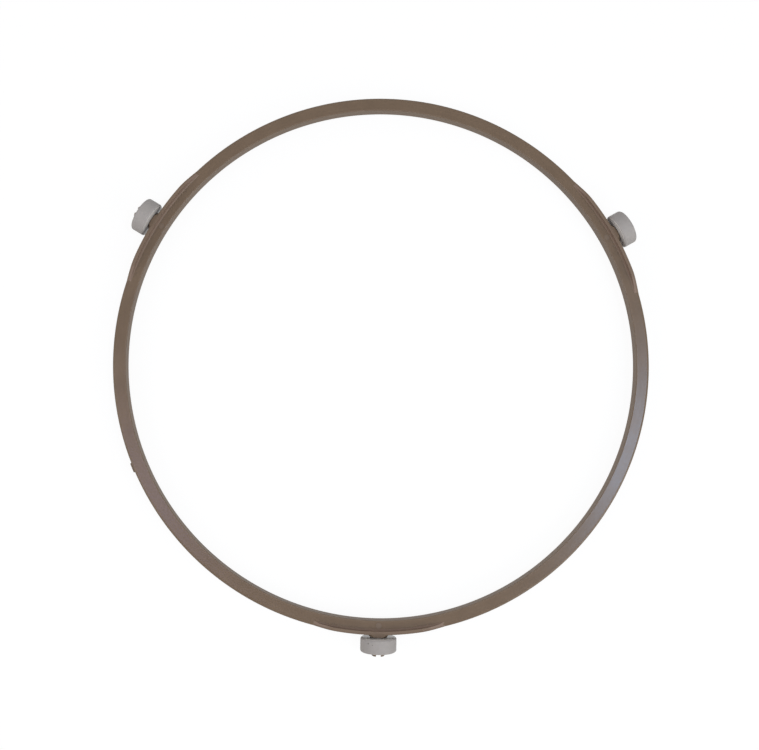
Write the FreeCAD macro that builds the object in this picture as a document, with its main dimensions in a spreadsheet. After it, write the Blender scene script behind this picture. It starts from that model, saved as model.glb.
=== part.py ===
import FreeCAD, Part
import os
import Sketcher

# Microwave roller ring, in millimetres
# One moulded ring carries three rollers on split snap pins that point outwards.
# Z is the ring's axis and points up, and the three pin axes lie in the plane Z = 0.

# Driving dimensions: alias, value and what the value sets
DIMENSIONS = (
    ("ring_outer_diameter", 215.0, "over the outer wall of the ring"),
    ("ring_width", 5.2, "radial width of the ring's section"),
    ("ring_height", 5.35, "height of the ring's section"),
    ("ring_top", 0.85, "top face of the ring above the pin axes"),
    ("crown_round", 0.9, "round of the outer top edge"),
    ("edge_chamfer", 0.3, "chamfer of the other three edges"),
    ("rib_thickness", 1.3, "radial thickness of the raised ribs"),
    ("rib_setback", 0.15, "outer face of a rib inside the outer wall"),
    ("rib_height", 2.2, "crest of a rib above the ring's top face"),
    ("rib_crest_length", 36.6, "straight length of a rib's level crest"),
    ("rib_foot_length", 51.0, "straight length of a rib at the ring's top face"),
    ("rib_chamfer", 0.3, "chamfer of a rib's long upper edges"),
    ("roller_diameter", 14.15, "tread of a roller"),
    ("roller_width", 5.5, "width of a roller between its faces"),
    ("roller_bore", 5.2, "bore of a roller"),
    ("rim_chamfer", 0.5, "chamfer of a roller's two tread edges"),
    ("bore_chamfer", 0.3, "lead-in at both ends of the bore"),
    ("pin_clearance", 0.1, "radial running clearance of the pin in the bore"),
    ("shoulder_gap", 0.3, "free length of pin between the post and the roller"),
    ("barb_gap", 0.3, "end play between the roller and the barbs"),
    ("post_length", 0.8, "shoulder of the post outside the outer wall"),
    ("shoulder_height", 1.1, "radial step from the pin up to the post"),
    ("flare_height", 0.4, "radial growth of the post down to the wall"),
    ("barb_overlap", 0.25, "radial catch of the barbs behind the bore's edge"),
    ("barb_length", 1.4, "length of the barbs along the pin"),
    ("tip_drop", 0.4, "radial taper of the barbs to their tips"),
    ("slot_width", 1.5, "split between the two prongs"),
    ("slot_mouth", 2.0, "split at the tips of the prongs"),
    ("slot_root", 1.2, "solid length of pin left behind the split"),
    ("mark_diameter", 2.4, "round ejector mark on the top face"),
    ("mark_depth", 0.15, "depth of an ejector mark"),
    ("mark_inset", 3.25, "centre of an ejector mark inside the outer wall"),
    ("gate_width", 4.7, "broken-off moulding gate along the wall"),
    ("gate_height", 1.2, "height of the gate stub"),
    ("gate_proud", 0.7, "gate stub outside the outer wall"),
    ("gate_drop", 1.3, "top of the gate stub below the ring's top face"),
    ("gate_angle", 174.4, "turn of the gate stub from the first post"),
)

# Rollers in order round the ring, and the turn of the first post from the X axis
ROLLERS = ("roller_right", "roller_left", "roller_front")
FIRST_TURN = 30.0

# Numbers that a sketch gives to its lines' ends, a circle's centre, its origin and its axes
START_INDEX, END_INDEX, CENTRE_INDEX = 1, 2, 3
ORIGIN_INDEX, H_AXIS_INDEX, V_AXIS_INDEX = -1, -1, -2

# Edges and places closer than this are taken as the same
SAME = 1e-4

# Sizes worked out from the driving dimensions
OUTER_RADIUS = "(Dimensions.ring_outer_diameter / 2)"
INNER_RADIUS = f"({OUTER_RADIUS} - Dimensions.ring_width)"
RING_BOTTOM = "(Dimensions.ring_top - Dimensions.ring_height)"
RING_MIDDLE = "(Dimensions.ring_top - Dimensions.ring_height / 2)"
RIB_OUTER = f"({OUTER_RADIUS} - Dimensions.rib_setback)"
RIB_INNER = f"({RIB_OUTER} - Dimensions.rib_thickness)"
RIB_MIDDLE = f"(({RIB_OUTER} + {RIB_INNER}) / 2)"
BORE_RADIUS = "(Dimensions.roller_bore / 2)"
PIN_RADIUS = f"({BORE_RADIUS} - Dimensions.pin_clearance)"
POST_RADIUS = f"({PIN_RADIUS} + Dimensions.shoulder_height)"
FLARE_RADIUS = f"({POST_RADIUS} + Dimensions.flare_height)"
BARB_RADIUS = f"({BORE_RADIUS} + Dimensions.barb_overlap)"
TIP_RADIUS = f"({BARB_RADIUS} - Dimensions.tip_drop)"
RIB_CREST = "(Dimensions.ring_top + Dimensions.rib_height)"
SHOULDER = f"({OUTER_RADIUS} + Dimensions.post_length)"
ROLLER_INNER = f"({SHOULDER} + Dimensions.shoulder_gap)"
ROLLER_OUTER = f"({ROLLER_INNER} + Dimensions.roller_width)"
BARB_START = f"({ROLLER_OUTER} + Dimensions.barb_gap)"
PIN_TIP = f"({BARB_START} + Dimensions.barb_length)"
SLOT_BOTTOM = f"({SHOULDER} + Dimensions.slot_root)"


def make_sheet(doc):
    """Write the driving dimensions into a spreadsheet, one named cell for each."""
    sheet = doc.addObject("Spreadsheet::Sheet", "Dimensions")
    for row, (alias, value, note) in enumerate(DIMENSIONS, start=1):
        sheet.set(f"A{row}", alias)
        sheet.set(f"B{row}", str(value))
        sheet.setAlias(f"B{row}", alias)
        sheet.set(f"C{row}", note)
    doc.recompute()


def number(thing, expression):
    """Work out an expression as a plain number, for the first guess of a drawn point."""
    return float(thing.evalExpression(expression))


def add_sketch(body, name, role, height="0", turn="0"):
    """Lay an empty sketch on one of the body's origin planes, lifted and turned about its normal."""
    plane = next(item for item in body.Origin.OriginFeatures if item.Role == role)
    sketch = body.newObject("Sketcher::SketchObject", name)
    sketch.AttachmentSupport = (plane, [""])
    sketch.MapMode = "FlatFace"
    sketch.AttachmentOffset = FreeCAD.Placement(FreeCAD.Vector(), FreeCAD.Rotation(FreeCAD.Vector(0, 0, 1), 0))
    sketch.setExpression("AttachmentOffset.Base.z", height)
    sketch.setExpression("AttachmentOffset.Rotation.Angle", turn)
    return sketch


def bind(sketch, constraint, expression):
    """Add a dimension to a sketch and tie it to the driving dimensions."""
    index = sketch.addConstraint(constraint)
    sketch.setExpression(f"Constraints[{index}]", expression)


def hold_point(sketch, line, point, across, up):
    """Hold a drawn point at a place given by two expressions from the sketch's origin."""
    for kind, axis, expression in (("DistanceX", V_AXIS_INDEX, across), ("DistanceY", H_AXIS_INDEX, up)):
        if expression == "0":
            sketch.addConstraint(Sketcher.Constraint("PointOnObject", line, point, axis))
        else:
            guess = number(sketch, expression)
            bind(sketch, Sketcher.Constraint(kind, ORIGIN_INDEX, START_INDEX, line, point, guess), expression)


def draw_outline(sketch, corners):
    """Draw a closed outline of straight lines through corners given as pairs of expressions."""
    spots = [FreeCAD.Vector(number(sketch, across), number(sketch, up), 0) for across, up in corners]
    lines = []
    for start, end in zip(spots, spots[1:] + spots[:1]):
        lines.append(sketch.addGeometry(Part.LineSegment(start, end)))
    for line, following in zip(lines, lines[1:] + lines[:1]):
        sketch.addConstraint(Sketcher.Constraint("Coincident", line, END_INDEX, following, START_INDEX))
    for line, (across, up) in zip(lines, corners):
        hold_point(sketch, line, START_INDEX, across, up)
    return lines


def round_corner(sketch, line, radius):
    """Round the corner at the start of an outline's line, keeping the corner's own dimensions."""
    sketch.fillet(line, START_INDEX, number(sketch, radius), True, True)
    arc = sketch.GeometryCount - 1
    while sketch.Geometry[arc].TypeId != "Part::GeomArcOfCircle":
        arc -= 1
    bind(sketch, Sketcher.Constraint("Radius", arc, number(sketch, radius)), radius)


def revolve(body, sketch, name, axis, angle=None):
    """Turn a sketch about one of its own axes, fully or centred over an angle."""
    feature = body.newObject("PartDesign::Revolution", name)
    feature.Profile = sketch
    feature.ReferenceAxis = (sketch, [axis])
    if angle:
        feature.Midplane = True
        feature.setExpression("Angle", angle)
    return feature


def pocket(body, sketch, name, depth, reverse=False, both_ways=False):
    """Cut a sketch into the body, against its normal, along it, or half each way."""
    feature = body.newObject("PartDesign::Pocket", name)
    feature.Profile = sketch
    feature.Reversed = reverse
    feature.SideType = "Symmetric" if both_ways else "One side"
    feature.setExpression("Length", depth)
    return feature


def repeat_round(body, name, features=None):
    """Repeat the body's whole shape, or some features of it, once for each roller round the ring."""
    axis = next(item for item in body.Origin.OriginFeatures if item.Role == "Z_Axis")
    pattern = body.newObject("PartDesign::PolarPattern", name)
    if features:
        pattern.Originals = features
    else:
        pattern.TransformMode = "Whole shape"
    pattern.Axis = (axis, [""])
    pattern.Occurrences = len(ROLLERS)
    body.Tip = pattern


def chamfer(body, name, base, edges, size):
    """Chamfer some edges of the body's last feature."""
    feature = body.newObject("PartDesign::Chamfer", name)
    feature.Base = (base, edges)
    feature.setExpression("Size", size)
    return feature


def pick_edges(shape, wanted):
    """Name the edges of a shape that a test accepts."""
    return [f"Edge{index}" for index, edge in enumerate(shape.Edges, start=1) if wanted(edge)]


def is_straight(edge):
    """Tell whether an edge is a straight line."""
    return isinstance(edge.Curve, Part.Line)


def has_radius(edge, radius):
    """Tell whether an edge is an arc or circle of a given radius."""
    if edge.Degenerated or not isinstance(edge.Curve, Part.Circle):
        return False
    return abs(edge.Curve.Radius - radius) < SAME


def turned(index):
    """Give the placement of the post with this index in the order of the rollers."""
    angle = FIRST_TURN + index * 360.0 / len(ROLLERS)
    return FreeCAD.Placement(FreeCAD.Vector(), FreeCAD.Rotation(FreeCAD.Vector(0, 0, 1), angle))


def make_arm(body):
    """Make the first rib with its post and split pin, along the body's X axis."""
    crest = "(Dimensions.rib_crest_length / 2)"
    run = "((Dimensions.rib_foot_length - Dimensions.rib_crest_length) / 2)"
    foot = f"({crest} + {run} * ({RIB_CREST} - {RING_MIDDLE}) / ({RIB_CREST} - Dimensions.ring_top))"
    band = add_sketch(body, "rib_section", "XZ_Plane")
    draw_outline(band, (
        (RIB_INNER, RING_MIDDLE),
        (RIB_OUTER, RING_MIDDLE),
        (RIB_OUTER, RIB_CREST),
        (RIB_INNER, RIB_CREST),
    ))
    revolve(body, band, "rib", "V_Axis", f"2 * asin({foot} / {RIB_INNER})")

    ends = add_sketch(body, "rib_ramps", "YZ_Plane")
    beyond = f"({foot} + Dimensions.rib_thickness)"
    for side in ("", "-"):
        draw_outline(ends, (
            (side + crest, RIB_CREST),
            (side + foot, RING_MIDDLE),
            (side + beyond, RING_MIDDLE),
            (side + beyond, RIB_CREST),
        ))
    ramps = pocket(body, ends, "rib_ends", OUTER_RADIUS, reverse=True)
    body.Document.recompute()
    low = number(band, RING_MIDDLE)
    upper = pick_edges(ramps.Shape, lambda edge: edge.BoundBox.ZMax > low + SAME and not is_straight(edge))
    chamfer(body, "rib_edges", ramps, upper, "Dimensions.rib_chamfer")

    stem = add_sketch(body, "post_profile", "XY_Plane")
    draw_outline(stem, (
        (RIB_MIDDLE, "0"),
        (RIB_MIDDLE, FLARE_RADIUS),
        (RIB_OUTER, FLARE_RADIUS),
        (SHOULDER, POST_RADIUS),
        (SHOULDER, PIN_RADIUS),
        (BARB_START, PIN_RADIUS),
        (BARB_START, BARB_RADIUS),
        (PIN_TIP, TIP_RADIUS),
        (PIN_TIP, "0"),
    ))
    revolve(body, stem, "post", "H_Axis")

    cover = add_sketch(body, "post_top", "XY_Plane", height=RIB_CREST)
    draw_outline(cover, (
        (RIB_INNER, FLARE_RADIUS),
        (RIB_INNER, "-" + FLARE_RADIUS),
        (SHOULDER, "-" + FLARE_RADIUS),
        (SHOULDER, FLARE_RADIUS),
    ))
    pocket(body, cover, "post_trim", FLARE_RADIUS, reverse=True)

    gap = add_sketch(body, "slot_outline", "XY_Plane")
    half, mouth = "(Dimensions.slot_width / 2)", "(Dimensions.slot_mouth / 2)"
    draw_outline(gap, (
        (SLOT_BOTTOM, half),
        (SLOT_BOTTOM, "-" + half),
        (BARB_START, "-" + half),
        (PIN_TIP, "-" + mouth),
        (PIN_TIP, mouth),
        (BARB_START, half),
    ))
    pocket(body, gap, "slot", f"2 * {FLARE_RADIUS}", both_ways=True)
    body.Document.recompute()


def make_ring(doc):
    """Make the moulded ring: three arms, the band that joins them, ejector marks and the gate stub."""
    body = doc.addObject("PartDesign::Body", "support_ring")
    body.AllowCompound = True
    make_arm(body)
    repeat_round(body, "arms")

    section = add_sketch(body, "ring_section", "XZ_Plane")
    lines = draw_outline(section, (
        (INNER_RADIUS, RING_BOTTOM),
        (OUTER_RADIUS, RING_BOTTOM),
        (OUTER_RADIUS, "Dimensions.ring_top"),
        (INNER_RADIUS, "Dimensions.ring_top"),
    ))
    round_corner(section, lines[2], "Dimensions.crown_round")
    ring = revolve(body, section, "ring", "V_Axis")
    doc.recompute()
    inner, outer, low = (number(section, size) for size in (INNER_RADIUS, OUTER_RADIUS, RING_BOTTOM))
    sharp = pick_edges(ring.Shape, lambda edge: has_radius(edge, inner)
                       or has_radius(edge, outer) and edge.BoundBox.ZMax < low + SAME)
    chamfer(body, "ring_edges", ring, sharp, "Dimensions.edge_chamfer")

    spot = add_sketch(body, "mark_outline", "XY_Plane", height="Dimensions.ring_top")
    place = f"({OUTER_RADIUS} - Dimensions.mark_inset)"
    centre = FreeCAD.Vector(number(spot, place), 0, 0)
    diameter = number(spot, "Dimensions.mark_diameter")
    circle = spot.addGeometry(Part.Circle(centre, FreeCAD.Vector(0, 0, 1), diameter / 2))
    hold_point(spot, circle, CENTRE_INDEX, place, "0")
    bind(spot, Sketcher.Constraint("Diameter", circle, diameter), "Dimensions.mark_diameter")
    mark = pocket(body, spot, "mark", "Dimensions.mark_depth")
    repeat_round(body, "marks", [mark])

    stub = add_sketch(body, "gate_outline", "XY_Plane", height="Dimensions.ring_top - Dimensions.gate_drop",
                      turn="Dimensions.gate_angle")
    side = "(Dimensions.gate_width / 2)"
    draw_outline(stub, (
        (f"{OUTER_RADIUS} - Dimensions.ring_width / 2", "-" + side),
        (f"{OUTER_RADIUS} + Dimensions.gate_proud", "-" + side),
        (f"{OUTER_RADIUS} + Dimensions.gate_proud", side),
        (f"{OUTER_RADIUS} - Dimensions.ring_width / 2", side),
    ))
    gate = body.newObject("PartDesign::Pad", "gate")
    gate.Profile = stub
    gate.Reversed = True
    gate.setExpression("Length", "Dimensions.gate_height")
    body.Placement = turned(0)
    doc.recompute()
    return body


def make_roller(doc, label, index):
    """Make one roller on its pin: a turned section with chamfered rims and a lead-in at the bore."""
    body = doc.addObject("PartDesign::Body", label)
    section = add_sketch(body, label + "_section", "XY_Plane")
    tread = "Dimensions.roller_diameter / 2"
    draw_outline(section, (
        (ROLLER_INNER, BORE_RADIUS),
        (ROLLER_OUTER, BORE_RADIUS),
        (ROLLER_OUTER, tread),
        (ROLLER_INNER, tread),
    ))
    wheel = revolve(body, section, label + "_wheel", "H_Axis")
    doc.recompute()

    treads = pick_edges(wheel.Shape, lambda edge: has_radius(edge, number(section, tread)))
    rims = chamfer(body, label + "_rims", wheel, treads, "Dimensions.rim_chamfer")
    doc.recompute()
    mouths = pick_edges(rims.Shape, lambda edge: has_radius(edge, number(section, BORE_RADIUS)))
    chamfer(body, label + "_lead_in", rims, mouths, "Dimensions.bore_chamfer")
    body.Placement = turned(index)
    doc.recompute()
    return body


def check(doc, bodies):
    """Stop if a feature failed or a sub-part is not one valid solid."""
    failed = [item.Name for item in doc.Objects if {"Invalid", "Error"} & set(item.State)]
    if failed:
        raise RuntimeError("failed features: " + ", ".join(failed))
    for cut in doc.findObjects("PartDesign::Pocket"):
        if cut.Shape.Volume >= cut.BaseFeature.Shape.Volume:
            raise RuntimeError("cuts nothing: " + cut.Name)
    for body in bodies:
        if body.Shape.isNull() or not body.Shape.isValid() or len(body.Shape.Solids) != 1:
            raise RuntimeError("not one valid solid: " + body.Label)


def main():
    """Build the document and write one file for each sub-part."""
    doc = FreeCAD.newDocument("roller_ring")
    make_sheet(doc)
    bodies = [make_ring(doc)]
    for index, label in enumerate(ROLLERS):
        bodies.append(make_roller(doc, label, index))
    doc.recompute()
    check(doc, bodies)
    os.makedirs("parts", exist_ok=True)
    for body in bodies:
        body.Shape.exportStep(f"parts/{body.Label}.step")
        print(body.Label, round(body.Shape.Volume, 2), body.Shape.BoundBox)


main()
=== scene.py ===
"""Looks of a microwave roller ring: finely rounded mouldings, their plastics and a plain studio."""

import logging
import math
from collections.abc import Callable, Sequence
from dataclasses import dataclass
from enum import Enum

import bmesh
import bpy
from mathutils import Matrix, Vector


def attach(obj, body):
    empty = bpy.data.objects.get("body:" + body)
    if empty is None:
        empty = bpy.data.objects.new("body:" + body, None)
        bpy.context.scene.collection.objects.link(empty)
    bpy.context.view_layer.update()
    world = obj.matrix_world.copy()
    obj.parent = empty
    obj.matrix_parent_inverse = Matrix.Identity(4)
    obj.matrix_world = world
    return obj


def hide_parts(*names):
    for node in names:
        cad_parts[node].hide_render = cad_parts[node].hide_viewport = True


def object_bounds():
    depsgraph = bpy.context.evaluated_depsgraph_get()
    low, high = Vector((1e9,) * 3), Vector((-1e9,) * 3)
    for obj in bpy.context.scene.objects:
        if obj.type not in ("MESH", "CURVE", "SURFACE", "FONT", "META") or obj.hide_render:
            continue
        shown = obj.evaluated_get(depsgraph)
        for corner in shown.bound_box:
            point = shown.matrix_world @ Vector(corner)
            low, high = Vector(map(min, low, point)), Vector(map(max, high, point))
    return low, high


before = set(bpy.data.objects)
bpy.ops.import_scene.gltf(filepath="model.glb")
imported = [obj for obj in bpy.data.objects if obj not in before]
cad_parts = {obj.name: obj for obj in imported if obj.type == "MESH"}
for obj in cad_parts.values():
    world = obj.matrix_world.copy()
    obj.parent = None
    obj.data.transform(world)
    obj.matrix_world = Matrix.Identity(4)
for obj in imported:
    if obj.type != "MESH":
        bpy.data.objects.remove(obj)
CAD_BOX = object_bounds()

LOG = logging.getLogger("roller_ring")

MM = 0.001
FULL_TURN = math.tau
TINY = 1e-4
X_AXIS = Vector((1.0, 0.0, 0.0))
Z_AXIS = Vector((0.0, 0.0, 1.0))

# The photograph's frame in pixels
PHOTO_WIDTH, PHOTO_HEIGHT = 759, 750

# A small spot's uneven edge: how far the noise moves it, and where it fades in shares of the radius
SPOT_RAGGED = 0.5
SPOT_FADE = (0.7, 1.1)

# The middle of a noise, and of the way from a finish's dark tone to its light one
MIDDLE = 0.5

# A colour, a pair of bounds, and a spot with its radius in millimetres
Colour = tuple[float, float, float]
Span = tuple[float, float]
Spot = tuple[Vector, float]

WHITE: Colour = (1.0, 1.0, 1.0)

# Dark specks on the tread of the front roller
FRONT_SPECKS: tuple[Spot, ...] = (
    (Vector((-4.09, -109.94, 5.77)), 0.38),
    (Vector((-2.56, -110.49, 6.59)), 0.24),
)


class Station(Enum):
    """Places round the ring that carry a roller: the roller's node, its body and its turn in degrees."""

    RIGHT = ("roller_right", "right_roller", 30.0)
    LEFT = ("roller_left", "left_roller", 150.0)
    FRONT = ("roller_front", "front_roller", 270.0)

    @property
    def node(self) -> str:
        """Name of the roller's node in the frame."""
        return self.value[0]

    @property
    def body(self) -> str:
        """Name of the body that the roller turns with."""
        return self.value[1]

    @property
    def turn(self) -> float:
        """Angle of the pin from the X axis, in radians."""
        return math.radians(self.value[2])


class Join(Enum):
    """How one form is worked into another."""

    ADD = "UNION"
    CUT = "DIFFERENCE"


@dataclass(frozen=True)
class Corner:
    """A corner of a turned section, in millimetres, with the radius that rounds it."""

    across: float
    up: float
    radius: float = 0.0
    segments: int = 3


class Form:
    """A closed mesh in the making, in millimetres, shaped with mesh operators."""

    def __init__(self) -> None:
        """Start with an empty mesh."""
        self.mesh = bmesh.new()

    @classmethod
    def turned(cls, corners: Sequence[Corner], axis: Vector, steps: int,
               sweep: float = FULL_TURN) -> "Form":
        """Turn a closed section about an axis through the origin.

        Args:
            corners: the section's corners in order, across along X and up along Z.
            axis: X for a section that lies along the axis, Z for one that goes round it.
            steps: how many facets the sweep is made of.
            sweep: the angle of the sweep, centred on the X axis.

        Returns:
            The turned form, closed and facing outwards.
        """
        form = cls()
        mesh = form.mesh
        spots = [mesh.verts.new((corner.across, 0.0, corner.up)) for corner in corners]
        mesh.faces.new(spots)
        for spot, corner in zip(spots, corners):
            if corner.radius:
                bmesh.ops.bevel(mesh, geom=[spot], offset=corner.radius, offset_type="OFFSET",
                                segments=corner.segments, profile=0.5, affect="VERTICES", material=-1)
        bmesh.ops.delete(mesh, geom=mesh.faces[:], context="FACES_ONLY")
        on_axis = [edge for edge in mesh.edges
                   if all(vert.co.cross(axis).length < TINY for vert in edge.verts)]
        bmesh.ops.delete(mesh, geom=on_axis, context="EDGES")
        whole = sweep == FULL_TURN
        if not whole:
            back = Matrix.Rotation(-sweep / 2, 3, axis)
            bmesh.ops.rotate(mesh, verts=mesh.verts[:], cent=(0, 0, 0), matrix=back)
        bmesh.ops.spin(mesh, geom=mesh.verts[:] + mesh.edges[:], cent=(0, 0, 0), axis=axis, dvec=(0, 0, 0),
                       angle=sweep, steps=steps, use_merge=whole, use_duplicate=False)
        bmesh.ops.remove_doubles(mesh, verts=mesh.verts[:], dist=TINY)
        bmesh.ops.holes_fill(mesh, edges=[edge for edge in mesh.edges if edge.is_boundary], sides=0)
        form.face_outwards()
        return form

    @classmethod
    def plate(cls, corners: Sequence[tuple[float, float]], low: float, high: float) -> "Form":
        """Raise an upright plate from an outline.

        Args:
            corners: the outline's corners in order, in X and Y.
            low: the height of the plate's underside.
            high: the height of its top.

        Returns:
            The plate as a closed form.
        """
        form = cls()
        mesh = form.mesh
        base = mesh.faces.new([mesh.verts.new((x, y, low)) for x, y in corners])
        raised = bmesh.ops.extrude_face_region(mesh, geom=[base])["geom"]
        tops = [item for item in raised if isinstance(item, bmesh.types.BMVert)]
        bmesh.ops.translate(mesh, verts=tops, vec=(0, 0, high - low))
        form.face_outwards()
        return form

    def face_outwards(self) -> None:
        """Point every face away from the inside."""
        bmesh.ops.recalc_face_normals(self.mesh, faces=self.mesh.faces[:])

    def slice(self, point: Vector, normal: Vector) -> None:
        """Cut away what lies in front of a plane, and close the cut.

        Args:
            point: a point of the plane.
            normal: the plane's direction, towards what is cut away.
        """
        mesh = self.mesh
        everything = mesh.verts[:] + mesh.edges[:] + mesh.faces[:]
        bmesh.ops.bisect_plane(mesh, geom=everything, dist=TINY, plane_co=point, plane_no=normal,
                               clear_outer=True)
        rim = [edge for edge in mesh.edges if edge.is_boundary]
        bmesh.ops.holes_fill(mesh, edges=rim, sides=0)
        self.face_outwards()

    def soften(self, radius: float, segments: int, wanted: Callable[[bmesh.types.BMEdge], bool]) -> None:
        """Round the edges that a test accepts.

        Args:
            radius: the radius of the round.
            segments: how many facets the round is made of.
            wanted: tells whether an edge is rounded.
        """
        edges = [edge for edge in self.mesh.edges if edge.is_manifold and wanted(edge)]
        bmesh.ops.bevel(self.mesh, geom=edges, offset=radius, offset_type="OFFSET", segments=segments,
                        profile=0.5, affect="EDGES", material=-1, clamp_overlap=True)

    def place(self, shift: Vector, turn: float) -> None:
        """Move the form, then turn it about the ring's axis.

        Args:
            shift: the move, in millimetres.
            turn: the angle, in radians.
        """
        bmesh.ops.translate(self.mesh, verts=self.mesh.verts[:], vec=shift)
        around = Matrix.Rotation(turn, 3, "Z")
        bmesh.ops.rotate(self.mesh, verts=self.mesh.verts[:], cent=(0, 0, 0), matrix=around)

    def to_object(self, name: str) -> bpy.types.Object:
        """Hand the mesh over to a new object in the scene.

        Args:
            name: the object's name.

        Returns:
            The object, still in millimetres.
        """
        data = bpy.data.meshes.new(name)
        self.mesh.to_mesh(data)
        self.mesh.free()
        made = bpy.data.objects.new(name, data)
        bpy.context.scene.collection.objects.link(made)
        return made


def work_in(base: bpy.types.Object, tools: Sequence[tuple[Join, Form]]) -> None:
    """Add forms to an object or cut them out of it, so that it stays one closed moulding.

    Args:
        base: the object that is worked on.
        tools: the forms in order, each with the way that it is joined.
    """
    helpers = []
    for number, (way, form) in enumerate(tools):
        helper = form.to_object(f"{base.name}_tool_{number}")
        change = base.modifiers.new(helper.name, "BOOLEAN")
        change.operation = way.value
        change.solver = "EXACT"
        change.object = helper
        helpers.append(helper)
    depsgraph = bpy.context.evaluated_depsgraph_get()
    joined = bpy.data.meshes.new_from_object(base.evaluated_get(depsgraph))
    base.modifiers.clear()
    plain = base.data
    base.data = joined
    bpy.data.meshes.remove(plain)
    for helper in helpers:
        data = helper.data
        bpy.data.objects.remove(helper)
        bpy.data.meshes.remove(data)


def finish_mesh(piece: bpy.types.Object, ridge_from: float, crease_from: float) -> None:
    """Clean a piece's mesh, bring it to metres and shade it smoothly between its sharp edges.

    Args:
        piece: the object, in millimetres.
        ridge_from: the angle in degrees from which an outward edge stays sharp.
        crease_from: the angle in degrees from which an inward edge stays sharp.
    """
    mesh = bmesh.new()
    mesh.from_mesh(piece.data)
    bmesh.ops.remove_doubles(mesh, verts=mesh.verts[:], dist=TINY)
    bmesh.ops.dissolve_degenerate(mesh, edges=mesh.edges[:], dist=TINY)
    bmesh.ops.recalc_face_normals(mesh, faces=mesh.faces[:])
    bmesh.ops.scale(mesh, verts=mesh.verts[:], vec=(MM, MM, MM))
    for face in mesh.faces:
        face.smooth = True
    ridge, crease = math.radians(ridge_from), math.radians(crease_from)
    for edge in mesh.edges:
        edge.smooth = -crease < edge.calc_face_angle_signed(0.0) < ridge
    open_edges = sum(not edge.is_manifold for edge in mesh.edges)
    mesh.to_mesh(piece.data)
    mesh.free()
    piece.data.name = piece.name
    even = piece.modifiers.new("even_shading", "WEIGHTED_NORMAL")
    even.keep_sharp = True
    LOG.info("%s: %d faces, %d open edges", piece.name, len(piece.data.polygons), open_edges)


class Value:
    """A number socket of a shader that Python's operators extend with Math nodes."""

    def __init__(self, graph: "Graph", socket: bpy.types.NodeSocket) -> None:
        """Wrap an output socket of a graph."""
        self.graph = graph
        self.socket = socket

    def math(self, operation: str, *others: "Value | float") -> "Value":
        """Add a Math node that starts from this value."""
        return self.graph.math(operation, self, *others)

    def __add__(self, other: "Value | float") -> "Value":
        """Give self + other."""
        return self.graph.math("ADD", self, other)

    def __sub__(self, other: "Value | float") -> "Value":
        """Give self - other."""
        return self.graph.math("SUBTRACT", self, other)

    def __rsub__(self, other: "Value | float") -> "Value":
        """Give other - self."""
        return self.graph.math("SUBTRACT", other, self)

    def __mul__(self, other: "Value | float") -> "Value":
        """Give self * other."""
        return self.graph.math("MULTIPLY", self, other)

    def __truediv__(self, other: "Value | float") -> "Value":
        """Give self / other."""
        return self.graph.math("DIVIDE", self, other)

    def __rtruediv__(self, other: "Value | float") -> "Value":
        """Give other / self."""
        return self.graph.math("DIVIDE", other, self)

    __radd__ = __add__
    __rmul__ = __mul__


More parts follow.
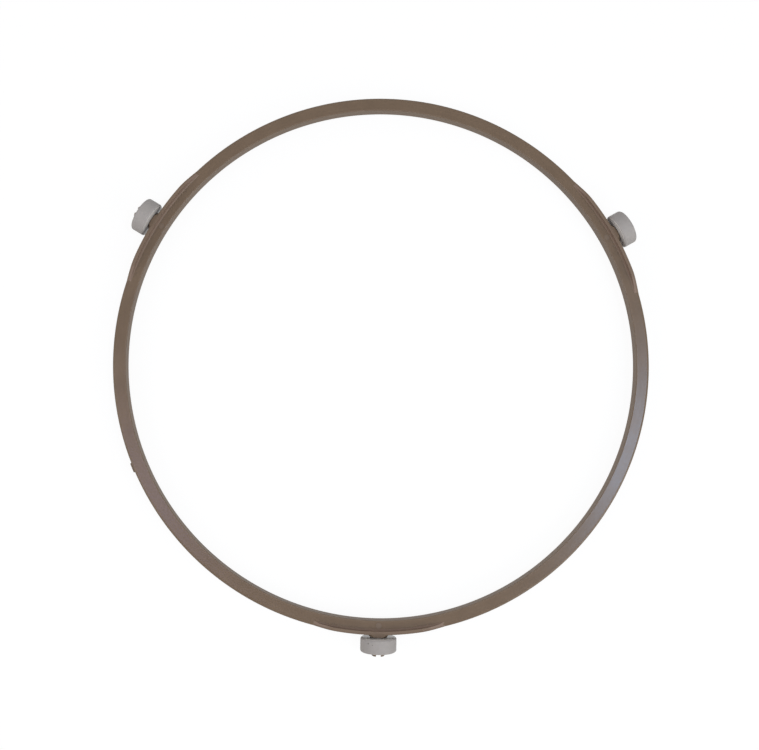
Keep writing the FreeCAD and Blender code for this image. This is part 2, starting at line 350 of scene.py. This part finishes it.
class Graph:
    """A node tree of a material or the world, with one method that adds its nodes."""

    def __init__(self, tree: bpy.types.NodeTree) -> None:
        """Empty the tree."""
        self.tree = tree
        tree.nodes.clear()

    def node(self, kind: str, settings: dict | None = None, inputs: dict | None = None) -> bpy.types.Node:
        """Add a node, set it up and feed its sockets.

        Args:
            kind: the node's type.
            settings: the node's properties.
            inputs: values, colours or sockets by the socket's identifier.

        Returns:
            The new node.
        """
        made = self.tree.nodes.new(kind)
        for name, setting in (settings or {}).items():
            setattr(made, name, setting)
        sockets = {socket.identifier: socket for socket in made.inputs}
        for name, value in (inputs or {}).items():
            source = value.socket if isinstance(value, Value) else value
            if isinstance(source, bpy.types.NodeSocket):
                self.tree.links.new(source, sockets[name])
            elif isinstance(source, tuple) and sockets[name].type == "RGBA":
                sockets[name].default_value = (*source, 1.0)
            else:
                sockets[name].default_value = source
        return made

    def output(self, node: bpy.types.Node, identifier: str) -> bpy.types.NodeSocket:
        """Find a node's output by its identifier."""
        return next(socket for socket in node.outputs if socket.identifier == identifier)

    def math(self, operation: str, *values: Value | float) -> Value:
        """Add a Math node.

        Args:
            operation: the node's operation.
            values: one to three values or numbers.

        Returns:
            The result as a value.
        """
        names = ("Value", "Value_001", "Value_002")
        made = self.node("ShaderNodeMath", {"operation": operation}, dict(zip(names, values)))
        return Value(self, made.outputs[0])

    def place(self) -> bpy.types.NodeSocket:
        """Give the object's own coordinates, in metres."""
        return self.output(self.node("ShaderNodeTexCoord"), "Object")

    def split(self, vector: bpy.types.NodeSocket) -> tuple[Value, Value, Value]:
        """Split a vector into its three numbers."""
        made = self.node("ShaderNodeSeparateXYZ", inputs={"Vector": vector})
        return tuple(Value(self, socket) for socket in made.outputs)

    def combine(self, x: Value | float, y: Value | float, z: Value | float) -> bpy.types.NodeSocket:
        """Put three numbers together as a vector."""
        return self.node("ShaderNodeCombineXYZ", inputs={"X": x, "Y": y, "Z": z}).outputs[0]

    def noise(self, vector: bpy.types.NodeSocket, size: float, detail: float) -> Value:
        """Add a noise of a given grain.

        Args:
            vector: the coordinates, in metres.
            size: the width of a grain, in metres.
            detail: how many finer layers are added.

        Returns:
            The noise, centred on nought and about a half each way.
        """
        made = self.node("ShaderNodeTexNoise", {"noise_dimensions": "3D"},
                         {"Vector": vector, "Scale": 1.0 / size, "Detail": detail})
        return Value(self, made.outputs[0]) - MIDDLE

    def ease(self, value: Value, low: float, high: float) -> Value:
        """Rise smoothly from nought to one between two values."""
        made = self.node("ShaderNodeMapRange", {"interpolation_type": "SMOOTHSTEP"},
                         {"Value": value, "From Min": low, "From Max": high})
        return Value(self, made.outputs[0])

    def rise(self, value: Value, level: float, span: Span) -> Value:
        """Rise smoothly from nought to one over a span about a level, both in millimetres."""
        return self.ease(value, (level + span[0]) * MM, (level + span[1]) * MM)

    def blend(self, share: Value, first: Colour | bpy.types.NodeSocket,
              second: Colour | bpy.types.NodeSocket) -> bpy.types.NodeSocket:
        """Mix two colours.

        Args:
            share: the share of the second colour.
            first: the colour where the share is nought.
            second: the colour where the share is one.

        Returns:
            The mixed colour.
        """
        made = self.node("ShaderNodeMix", {"data_type": "RGBA", "clamp_factor": True},
                         {"Factor_Float": share, "A_Color": first, "B_Color": second})
        return self.output(made, "Result_Color")

    def near(self, vector: bpy.types.NodeSocket, spot: Vector, reach: float, ragged: Value) -> Value:
        """Tell how near a place is to a small spot.

        Args:
            vector: the coordinates, in metres.
            spot: the middle of the spot, in millimetres.
            reach: the radius of the spot, in millimetres.
            ragged: a noise that makes the spot's edge uneven.

        Returns:
            One inside the spot, falling to nought at its edge.
        """
        away = self.node("ShaderNodeVectorMath", {"operation": "DISTANCE"},
                         {"Vector": vector, "Vector_001": spot * MM})
        gap = Value(self, away.outputs[1]) / (reach * MM) + ragged * SPOT_RAGGED
        return 1 - self.ease(gap, *SPOT_FADE)

    def bump(self, height: Value, depth: float) -> bpy.types.NodeSocket:
        """Turn a height into a normal; depth is the height in metres of one unit."""
        made = self.node("ShaderNodeBump", inputs={"Height": height, "Distance": depth, "Strength": 1.0})
        return made.outputs[0]

    def surface(self, shader: bpy.types.NodeSocket, kind: str = "ShaderNodeOutputMaterial") -> None:
        """Make a shader the tree's surface."""
        self.node(kind, inputs={"Surface": shader})

    def seen(self) -> Value:
        """Tell rays that show the surroundings: those of the camera, of gloss and of glass.

        Returns:
            One for such a ray, nought for any other.
        """
        path = self.node("ShaderNodeLightPath")
        kinds = ("Is Camera Ray", "Is Glossy Ray", "Is Transmission Ray")
        camera, gloss, glass = (Value(self, self.output(path, kind)) for kind in kinds)
        return camera.math("MAXIMUM", gloss).math("MAXIMUM", glass)


@dataclass(frozen=True)
class Finish:
    """A finish that paints a material of its own."""

    name: str

    def material(self) -> bpy.types.Material:
        """Make the material.

        Returns:
            The new material, painted.
        """
        made = bpy.data.materials.new(self.name)
        made.use_nodes = True
        self.paint(Graph(made.node_tree))
        return made

    def paint(self, graph: Graph) -> None:
        """Fill the material's nodes."""
        raise NotImplementedError


@dataclass(frozen=True)
class SatinBrown(Finish):
    """Brown plastic with a fine grain and faint flow lines, satin on the level top and dull on its walls.

    A lighter colour is painted on the inner walls of the ribs, a painted light that eases their shade, and
    the ejector marks are a little paler. The widths of the grain, clouds and lines and the relief are in
    metres, and heights, radii and spans in millimetres. Other numbers are shares.
    """

    name: str = "satin_brown_moulding"
    dark: Colour = (0.095, 0.063, 0.039)
    light: Colour = (0.150, 0.103, 0.066)
    mark: Colour = (0.190, 0.150, 0.120)
    # A lighter colour painted on the ribs' inner walls as painted light that eases their shade
    painted_rib_light: Colour = (0.182, 0.126, 0.097)
    satin: float = 0.24
    dull: float = 0.52
    shine: float = 0.28

    # The band's top, the ribs' crest and middle radius, and the ejector marks
    top: float = 0.85
    crest: float = 3.05
    rib: float = 106.8
    marks: tuple[Spot, ...] = ()

    # The plastic's noises, and what they do to its tone, its gloss and its relief
    grain: float = 0.0004
    cloud: float = 0.009
    line: float = 0.0007
    line_stretch: float = 0.004
    grain_tone: float = 0.35
    cloud_tone: float = 0.5
    line_tone: float = 0.25
    grain_dullness: float = 0.03
    cloud_dullness: float = 0.07
    grain_height: float = 0.6
    line_height: float = 0.4
    relief: float = 0.000006

    # How much the marks and the painted light on the ribs' inner walls show, and where the finish changes
    mark_share: float = 0.22
    painted_rib_light_share: float = 0.8
    crest_share: float = 0.55
    level_span: Span = (-0.4, -0.1)
    raised_span: Span = (0.02, 0.1)
    crest_span: Span = (-0.7, -0.2)
    rib_span: Span = (-0.3, 0.3)

    def paint(self, graph: Graph) -> None:
        """Fill the material's nodes.

        Args:
            graph: the material's empty node tree.
        """
        place = graph.place()
        x, y, z = graph.split(place)
        radius = (x * x + y * y).math("SQRT")
        turn = y.math("ARCTAN2", x)
        lines = graph.noise(graph.combine(radius, turn * self.line_stretch, z), self.line, detail=1.0)
        clouds = graph.noise(place, self.cloud, detail=2.0)
        grain = graph.noise(place, self.grain, detail=2.0)
        tone = MIDDLE + clouds * self.cloud_tone + grain * self.grain_tone + lines * self.line_tone
        colour = graph.blend(tone, self.dark, self.light)
        raised = graph.rise(z, self.top, self.raised_span)
        crest = graph.rise(z, self.crest, self.crest_span)
        inward = 1 - graph.rise(radius, self.rib, self.rib_span)
        # Painted light: the ribs' inner walls are made lighter, less so near the crest, to ease their shade
        painted_rib_light_mask = (raised * self.painted_rib_light_share - crest * self.crest_share) * inward
        colour = graph.blend(painted_rib_light_mask, colour, self.painted_rib_light)
        for spot, reach in self.marks:
            marked = graph.near(place, spot, reach, grain) * self.mark_share
            colour = graph.blend(marked, colour, self.mark)
        level = graph.rise(z, self.top, self.level_span) - raised
        roughness = self.dull + level * (self.satin - self.dull)
        roughness = roughness + clouds * self.cloud_dullness + grain * self.grain_dullness
        height = grain * self.grain_height + lines * self.line_height
        shader = graph.node("ShaderNodeBsdfPrincipled", inputs={
            "Base Color": colour,
            "Roughness": roughness,
            "Normal": graph.bump(height, self.relief),
            "Specular IOR Level": self.shine,
        })
        graph.surface(shader.outputs[0])


@dataclass(frozen=True)
class DullGrey(Finish):
    """Warm grey plastic: a dull, faintly mottled tread with a few specks, and smoother side faces.

    The side faces are painted lighter than the tread, a painted light. The widths of the grain and mottle
    and the relief are in metres, and places along the axis, half the roller's width and spans in
    millimetres. Other numbers are shares.
    """

    name: str = "dull_grey_moulding"
    dark: Colour = (0.222, 0.205, 0.190)
    light: Colour = (0.304, 0.282, 0.263)
    # A lighter colour painted on the side faces as painted light
    painted_side_light: Colour = (0.470, 0.450, 0.425)
    speck: Colour = (0.150, 0.135, 0.120)
    roughness: float = 0.62
    polish: float = 0.14
    shine: float = 0.5

    # The roller's axis and width, where its side faces begin, and its specks
    axis: tuple[float, float, float] = (1.0, 0.0, 0.0)
    middle: float = 111.35
    half: float = 2.75
    side_span: Span = (-0.16, -0.02)
    specks: tuple[Spot, ...] = ()

    # The plastic's noises, and what they do to its tone, its gloss and its relief
    grain: float = 0.0005
    mottle: float = 0.0016
    grain_tone: float = 0.35
    mottle_tone: float = 0.5
    mottle_dullness: float = 0.12
    grain_height: float = 0.6
    mottle_height: float = 0.4
    relief: float = 0.00003
    side_evenness: float = 0.8
    # How strongly the side faces are painted lighter as painted light, and how much the mottle varies it
    painted_side_light_share: float = 0.9
    painted_side_light_mottle: float = 0.3

    def paint(self, graph: Graph) -> None:
        """Fill the material's nodes.

        Args:
            graph: the material's empty node tree.
        """
        place = graph.place()
        mottle = graph.noise(place, self.mottle, detail=3.0)
        grain = graph.noise(place, self.grain, detail=2.0)
        along = graph.node("ShaderNodeVectorMath", {"operation": "DOT_PRODUCT"},
                           {"Vector": place, "Vector_001": self.axis})
        aside = (Value(graph, along.outputs[1]) - self.middle * MM).math("ABSOLUTE")
        side = graph.rise(aside, self.half, self.side_span)
        tone = MIDDLE + mottle * self.mottle_tone + grain * self.grain_tone
        colour = graph.blend(tone, self.dark, self.light)
        for spot, reach in self.specks:
            colour = graph.blend(graph.near(place, spot, reach, grain), colour, self.speck)
        # Painted light: the side faces are painted lighter than the tread
        colour = graph.blend(side * (self.painted_side_light_share + mottle * self.painted_side_light_mottle), colour, self.painted_side_light)
        roughness = self.roughness + side * (self.polish - self.roughness)
        height = (grain * self.grain_height + mottle * self.mottle_height) * (1 - side * self.side_evenness)
        shader = graph.node("ShaderNodeBsdfPrincipled", inputs={
            "Base Color": colour,
            "Roughness": roughness + mottle * self.mottle_dullness,
            "Normal": graph.bump(height, self.relief),
            "Specular IOR Level": self.shine,
        })
        graph.surface(shader.outputs[0])


@dataclass(frozen=True)
class PaleFloor(Finish):
    """White floor that shows nearly white to the camera and still takes the object's shadow."""

    name: str = "pale_floor"
    colour: Colour = (0.90, 0.90, 0.90)
    glow: float = 0.92

    def paint(self, graph: Graph) -> None:
        """Fill the material's nodes.

        Args:
            graph: the material's empty node tree.
        """
        matt = graph.node("ShaderNodeBsdfDiffuse", inputs={"Color": self.colour})
        white = graph.node("ShaderNodeEmission", inputs={"Color": WHITE, "Strength": 1.0})
        mixed = graph.node("ShaderNodeMixShader", inputs={
            "Fac": graph.seen() * self.glow,
            "Shader": matt.outputs[0],
            "Shader_001": white.outputs[0],
        })
        graph.surface(mixed.outputs[0])


@dataclass
class SupportRing:
    """The brown ring: a band, and at each station a raised rib, a post and a split snap pin.

    Sizes are in millimetres and angles in degrees.
    """

    # The band
    outer_radius: float = 107.5
    width: float = 5.2
    height: float = 5.35
    top: float = 0.85
    crown: float = 0.9
    crown_segments: int = 7
    edge: float = 0.3
    hollow: float = 0.05
    hollow_round: float = 1.2
    hollow_segments: int = 5
    band_steps: int = 360

    # The ribs
    rib_thickness: float = 1.3
    rib_setback: float = 0.15
    rib_crest: float = 3.05
    rib_crest_half: float = 18.3
    rib_foot_half: float = 25.5
    rib_roll: float = 14.0
    roll_facets: int = 6
    rib_round: float = 0.5
    rib_edge_from: float = 40.0
    rib_edge_depth: float = 1.0
    rib_fillet: float = 1.3
    fillet_segments: int = 8
    rib_sink: float = 0.26
    rib_steps: int = 60

    # The posts and their split pins
    pin_radius: float = 2.5
    post_radius: float = 3.6
    flare_radius: float = 4.0
    post_drop: float = 0.03
    shoulder: float = 108.3
    shoulder_round: float = 0.15
    barb_start: float = 114.4
    barb_radius: float = 2.85
    barb_round: float = 0.12
    small_segments: int = 2
    tip: float = 115.8
    tip_radius: float = 2.45
    tip_round: float = 0.3
    round_segments: int = 3
    pin_steps: int = 64
    slot_start: float = 109.5
    slot_half: float = 0.75
    slot_bend: float = 0.06
    mouth_half: float = 1.0

    # The ejector marks, and how far a cut runs past what it cuts
    mark_radius: float = 1.2
    mark_place: float = 104.25
    mark_depth: float = 0.15
    cut_past: float = 1.0

    # The stub of the gate
    gate_turn: float = 204.4
    gate_size: tuple[float, float, float] = (3.4, 4.7, 1.2)
    gate_place: tuple[float, float, float] = (106.5, 0.0, -1.05)
    gate_taper: tuple[float, float, float] = (1.0, 0.82, 0.8)
    gate_round: float = 0.3

    # The angles from which edges are shaded sharp
    ridge_from: float = 38.0
    crease_from: float = 14.0

    def band(self) -> Form:
        """Turn the band: a faintly hollow top with a rounded outer edge, and small rounds elsewhere.

        Returns:
            The band as a closed form.
        """
        outer, inner = self.outer_radius, self.outer_radius - self.width
        low = self.top - self.height
        middle = (outer - self.crown + inner) / 2
        return Form.turned((
            Corner(inner, low, self.edge),
            Corner(outer, low, self.edge),
            Corner(outer, self.top, self.crown, self.crown_segments),
            Corner(middle, self.top - self.hollow, self.hollow_round, self.hollow_segments),
            Corner(inner, self.top, self.edge),
        ), Z_AXIS, self.band_steps)

    def rib(self, station: Station) -> Form:
        """Make a raised rib along the outer edge, ramped at both ends.

        Args:
            station: where the rib stands.

        Returns:
            The rib, rooted in the band.
        """
        outer = self.outer_radius - self.rib_setback
        inner = outer - self.rib_thickness
        root = self.top - self.height / 2
        slope = (self.rib_crest - self.top) / (self.rib_foot_half - self.rib_crest_half)
        ramp = math.atan(slope)
        foot = self.rib_crest_half + (self.rib_crest - root) / slope
        buried, sunk = inner - 2 * self.rib_fillet, self.top - self.rib_sink
        form = Form.turned((
            Corner(buried, root),
            Corner(outer, root),
            Corner(outer, self.rib_crest),
            Corner(inner, self.rib_crest),
            Corner(inner, sunk, self.rib_fillet, self.fillet_segments),
            Corner(buried, sunk),
        ), Z_AXIS, self.rib_steps, 2 * math.asin((foot + self.rib_thickness) / buried))
        hub_across = self.rib_crest_half - self.rib_roll * math.tan(ramp / 2)
        hub_up = self.rib_crest - self.rib_roll
        for side in (1, -1):
            hub = Vector((0.0, side * hub_across, hub_up))
            for facet in range(1, self.roll_facets + 1):
                lean = ramp * facet / self.roll_facets
                normal = Vector((0.0, side * math.sin(lean), math.cos(lean)))
                form.slice(hub + normal * self.rib_roll, normal)
        bend = math.radians(self.rib_edge_from)
        lowest, inmost = self.top - self.rib_edge_depth, inner - self.rib_sink

        def in_sight(edge: bmesh.types.BMEdge) -> bool:
            """Tell a sharp edge that is above the rib's root and outside its buried part."""
            above = min(vert.co.z for vert in edge.verts) > lowest
            outside = min(vert.co.xy.length for vert in edge.verts) > inmost
            return above and outside and edge.calc_face_angle(0.0) > bend

        form.soften(self.rib_round, self.round_segments, in_sight)
        form.place(Vector(), station.turn)
        return form

    def post(self, station: Station) -> Form:
        """Turn a post with its pin and barbs, flattened under the rib's crest.

        Args:
            station: where the post stands.

        Returns:
            The post, rooted in the rib.
        """
        wall = self.outer_radius - self.rib_setback
        form = Form.turned((
            Corner(wall - self.rib_thickness / 2, 0.0),
            Corner(wall - self.rib_thickness / 2, self.flare_radius),
            Corner(wall, self.flare_radius),
            Corner(self.shoulder, self.post_radius, self.shoulder_round, self.small_segments),
            Corner(self.shoulder, self.pin_radius),
            Corner(self.barb_start, self.pin_radius),
            Corner(self.barb_start, self.barb_radius, self.barb_round, self.small_segments),
            Corner(self.tip, self.tip_radius, self.tip_round, self.round_segments),
            Corner(self.tip, 0.0),
        ), X_AXIS, self.pin_steps)
        form.slice(Vector((0.0, 0.0, self.rib_crest - self.post_drop)), Z_AXIS)
        form.place(Vector(), station.turn)
        return form

    def slot(self, station: Station) -> Form:
        """Make the block that splits a pin into two prongs.

        Args:
            station: where the pin is.

        Returns:
            The block to cut out.
        """
        bend = self.barb_start + self.slot_bend
        end = self.tip + self.cut_past
        widening = (self.mouth_half - self.slot_half) * self.cut_past / (self.tip - bend)
        spread = self.mouth_half + widening
        reach = 2 * self.barb_radius
        form = Form.plate((
            (self.slot_start, self.slot_half),
            (self.slot_start, -self.slot_half),
            (bend, -self.slot_half),
            (end, -spread),
            (end, spread),
            (bend, self.slot_half),
        ), -reach, reach)
        form.place(Vector(), station.turn)
        return form

    def mark_spot(self, station: Station) -> Vector:
        """Find the middle of the ejector mark beside a station's post."""
        spot = Vector((self.mark_place, 0.0, self.top - self.mark_depth))
        return Matrix.Rotation(station.turn, 3, "Z") @ spot

    def mark(self, station: Station) -> Form:
        """Make the disc that presses an ejector mark into the top face.

        Args:
            station: the post that the mark lies beside.

        Returns:
            The disc to cut out.
        """
        low, high = self.top - self.hollow - self.mark_depth, self.top + self.cut_past
        form = Form.turned((
            Corner(0.0, low),
            Corner(self.mark_radius, low),
            Corner(self.mark_radius, high),
            Corner(0.0, high),
        ), Z_AXIS, self.pin_steps)
        form.place(Vector((self.mark_place, 0.0, 0.0)), station.turn)
        return form

    def gate(self) -> Form:
        """Make the broken-off stub of the moulding gate on the outer wall.

        Returns:
            The stub, rooted in the band.
        """
        form = Form()
        bmesh.ops.create_cube(form.mesh, size=1.0)
        bmesh.ops.scale(form.mesh, verts=form.mesh.verts[:], vec=self.gate_size)
        outside = [vert for vert in form.mesh.verts if vert.co.x > 0]
        bmesh.ops.scale(form.mesh, verts=outside, vec=self.gate_taper)
        form.soften(self.gate_round, self.round_segments, lambda edge: True)
        form.place(Vector(self.gate_place), math.radians(self.gate_turn))
        return form

    def build(self) -> bpy.types.Object:
        """Join the band, ribs, posts and gate into one moulding.

        Returns:
            The moulding, riding on the ring's body in place of its solid.
        """
        piece = self.band().to_object("ring_moulding")
        tools = []
        for station in Station:
            tools.append((Join.ADD, self.rib(station)))
            tools.append((Join.ADD, self.post(station)))
            tools.append((Join.CUT, self.slot(station)))
            tools.append((Join.CUT, self.mark(station)))
        tools.append((Join.ADD, self.gate()))
        work_in(piece, tools)
        finish_mesh(piece, self.ridge_from, self.crease_from)
        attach(piece, "ring")
        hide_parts("support_ring")
        return piece

    def dress(self, piece: bpy.types.Object, finish: Finish) -> None:
        """Give the moulding its plastic."""
        piece.data.materials.append(finish.material())


@dataclass
class Roller:
    """A grey roller that turns on a snap pin: a plain wheel with rounded rims and a bore.

    Sizes are in millimetres and angles in degrees.
    """

    station: Station
    inner_face: float = 108.6
    width: float = 5.5
    tread_radius: float = 7.075
    bore_radius: float = 2.6
    rim: float = 0.75
    rim_segments: int = 5
    lead_in: float = 0.3
    lead_segments: int = 2
    steps: int = 128
    ridge_from: float = 50.0
    crease_from: float = 14.0

    def build(self) -> bpy.types.Object:
        """Turn the wheel about its pin.

        Returns:
            The wheel, riding on its roller's body in place of its solid.
        """
        near, far = self.inner_face, self.inner_face + self.width
        form = Form.turned((
            Corner(near, self.bore_radius, self.lead_in, self.lead_segments),
            Corner(far, self.bore_radius, self.lead_in, self.lead_segments),
            Corner(far, self.tread_radius, self.rim, self.rim_segments),
            Corner(near, self.tread_radius, self.rim, self.rim_segments),
        ), X_AXIS, self.steps)
        form.place(Vector(), self.station.turn)
        piece = form.to_object(self.station.name.lower() + "_wheel")
        finish_mesh(piece, self.ridge_from, self.crease_from)
        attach(piece, self.station.body)
        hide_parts(self.station.node)
        return piece

    def dress(self, piece: bpy.types.Object, finish: Finish) -> None:
        """Give the wheel its plastic."""
        piece.data.materials.append(finish.material())


@dataclass(frozen=True)
class Lamp:
    """A square soft light: where it hangs and what it aims at in metres, its side, watts and tint."""

    name: str
    place: Vector
    aim: Vector
    side: float
    watts: float
    tint: Colour

    def hang(self) -> None:
        """Put the lamp into the scene."""
        data = bpy.data.lights.new(self.name, "AREA")
        data.shape = "SQUARE"
        data.size = self.side
        data.energy = self.watts
        data.color = self.tint
        lamp = bpy.data.objects.new(self.name, data)
        lamp.location = self.place
        lamp.rotation_euler = (self.aim - self.place).to_track_quat("-Z", "Y").to_euler()
        bpy.context.scene.collection.objects.link(lamp)


# Two high lamps that give the band its sheen, one beside the camera, and three low ones round the ring
LAMPS: tuple[Lamp, ...] = (
    Lamp("key_right", place=Vector((0.385, -0.060, 0.95)), aim=Vector((0.095, -0.035, 0.0)),
         side=0.18, watts=2.1, tint=(0.55, 0.73, 1.0)),
    Lamp("fill_left", place=Vector((-0.28, -0.13, 0.95)), aim=Vector((-0.09, -0.05, 0.0)),
         side=0.18, watts=0.56, tint=(0.66, 0.60, 1.0)),
    Lamp("overhead", place=Vector((-0.01, -0.02, 0.46)), aim=Vector(),
         side=0.22, watts=0.40, tint=(1.0, 0.98, 0.96)),
    Lamp("side_right", place=Vector((0.55, -0.41, 0.45)), aim=Vector(),
         side=0.50, watts=2.8, tint=(1.0, 0.97, 0.94)),
    Lamp("side_left", place=Vector((-0.61, -0.20, 0.55)), aim=Vector(),
         side=0.40, watts=1.3, tint=(1.0, 0.96, 0.93)),
    Lamp("back_left", place=Vector((-0.56, 0.40, 0.36)), aim=Vector(),
         side=0.16, watts=0.5, tint=(1.0, 0.95, 1.0)),
)


@dataclass
class Studio:
    """The pale floor, the white surroundings, the soft lamps and the camera.

    The camera's eye and sensor are in millimetres, its turn in radians, and its focal length and the
    middle of the picture in the photograph's pixels. The floor and the clipping are in metres.
    """

    floor_half: float = 3.0
    surround: Colour = (0.56, 0.56, 0.56)
    lamps: tuple[Lamp, ...] = LAMPS
    eye: tuple[float, float, float] = (-14.703, -25.616, 379.957)
    turn: tuple[float, float, float] = (0.0832, -0.0338, 0.0216)
    focal_pixels: float = 950.0
    middle: tuple[float, float] = (379.32, 344.96)
    sensor: float = 36.0
    clip_start: float = 0.01

    def lay_floor(self) -> None:
        """Lay the floor under the rollers."""
        mesh = bmesh.new()
        bmesh.ops.create_grid(mesh, x_segments=1, y_segments=1, size=self.floor_half)
        bmesh.ops.translate(mesh, verts=mesh.verts[:], vec=(0.0, 0.0, CAD_BOX[0].z))
        data = bpy.data.meshes.new("floor")
        mesh.to_mesh(data)
        mesh.free()
        data.materials.append(PaleFloor().material())
        floor = bpy.data.objects.new("floor", data)
        bpy.context.scene.collection.objects.link(floor)

    def light(self) -> None:
        """Set the surroundings and hang the lamps."""
        world = bpy.data.worlds.new("surroundings")
        world.use_nodes = True
        graph = Graph(world.node_tree)
        colour = graph.blend(graph.seen(), self.surround, WHITE)
        shown = graph.node("ShaderNodeBackground", inputs={"Color": colour, "Strength": 1.0})
        graph.surface(shown.outputs[0], "ShaderNodeOutputWorld")
        bpy.context.scene.world = world
        for lamp in self.lamps:
            lamp.hang()

    def aim_camera(self) -> None:
        """Put the camera where the photograph was taken from."""
        data = bpy.data.cameras.new("camera")
        data.sensor_fit = "HORIZONTAL"
        data.sensor_width = self.sensor
        data.lens = self.focal_pixels / PHOTO_WIDTH * self.sensor
        data.shift_x = (PHOTO_WIDTH / 2 - self.middle[0]) / PHOTO_WIDTH
        data.shift_y = (self.middle[1] - PHOTO_HEIGHT / 2) / PHOTO_WIDTH
        data.clip_start = self.clip_start
        camera = bpy.data.objects.new("camera", data)
        turned = Matrix.Identity(4)
        for angle, axis in zip(self.turn, "XYZ"):
            turned = turned @ Matrix.Rotation(angle, 4, axis)
        camera.matrix_world = Matrix.Translation(Vector(self.eye) * MM) @ turned
        bpy.context.scene.collection.objects.link(camera)
        bpy.context.scene.camera = camera


def main() -> None:
    """Build the ring and its rollers, dress them and set up the studio."""
    logging.basicConfig(level=logging.INFO, format="%(name)s: %(message)s")
    bpy.context.scene.view_settings.view_transform = "Standard"
    ring = SupportRing()
    marks = tuple((ring.mark_spot(station), ring.mark_radius) for station in Station)
    assemblies = [(ring, SatinBrown(marks=marks))]
    for station in Station:
        assemblies.append((Roller(station), DullGrey(
            name=f"dull_grey_{station.name.lower()}",
            axis=(math.cos(station.turn), math.sin(station.turn), 0.0),
            specks=FRONT_SPECKS if station is Station.FRONT else (),
        )))
    for assembly, finish in assemblies:
        piece = assembly.build()
        assembly.dress(piece, finish)
        LOG.info("%s: dressed in %s", piece.name, finish.name)
    studio = Studio()
    studio.lay_floor()
    studio.light()
    studio.aim_camera()


if __name__ == "__main__":
    main()
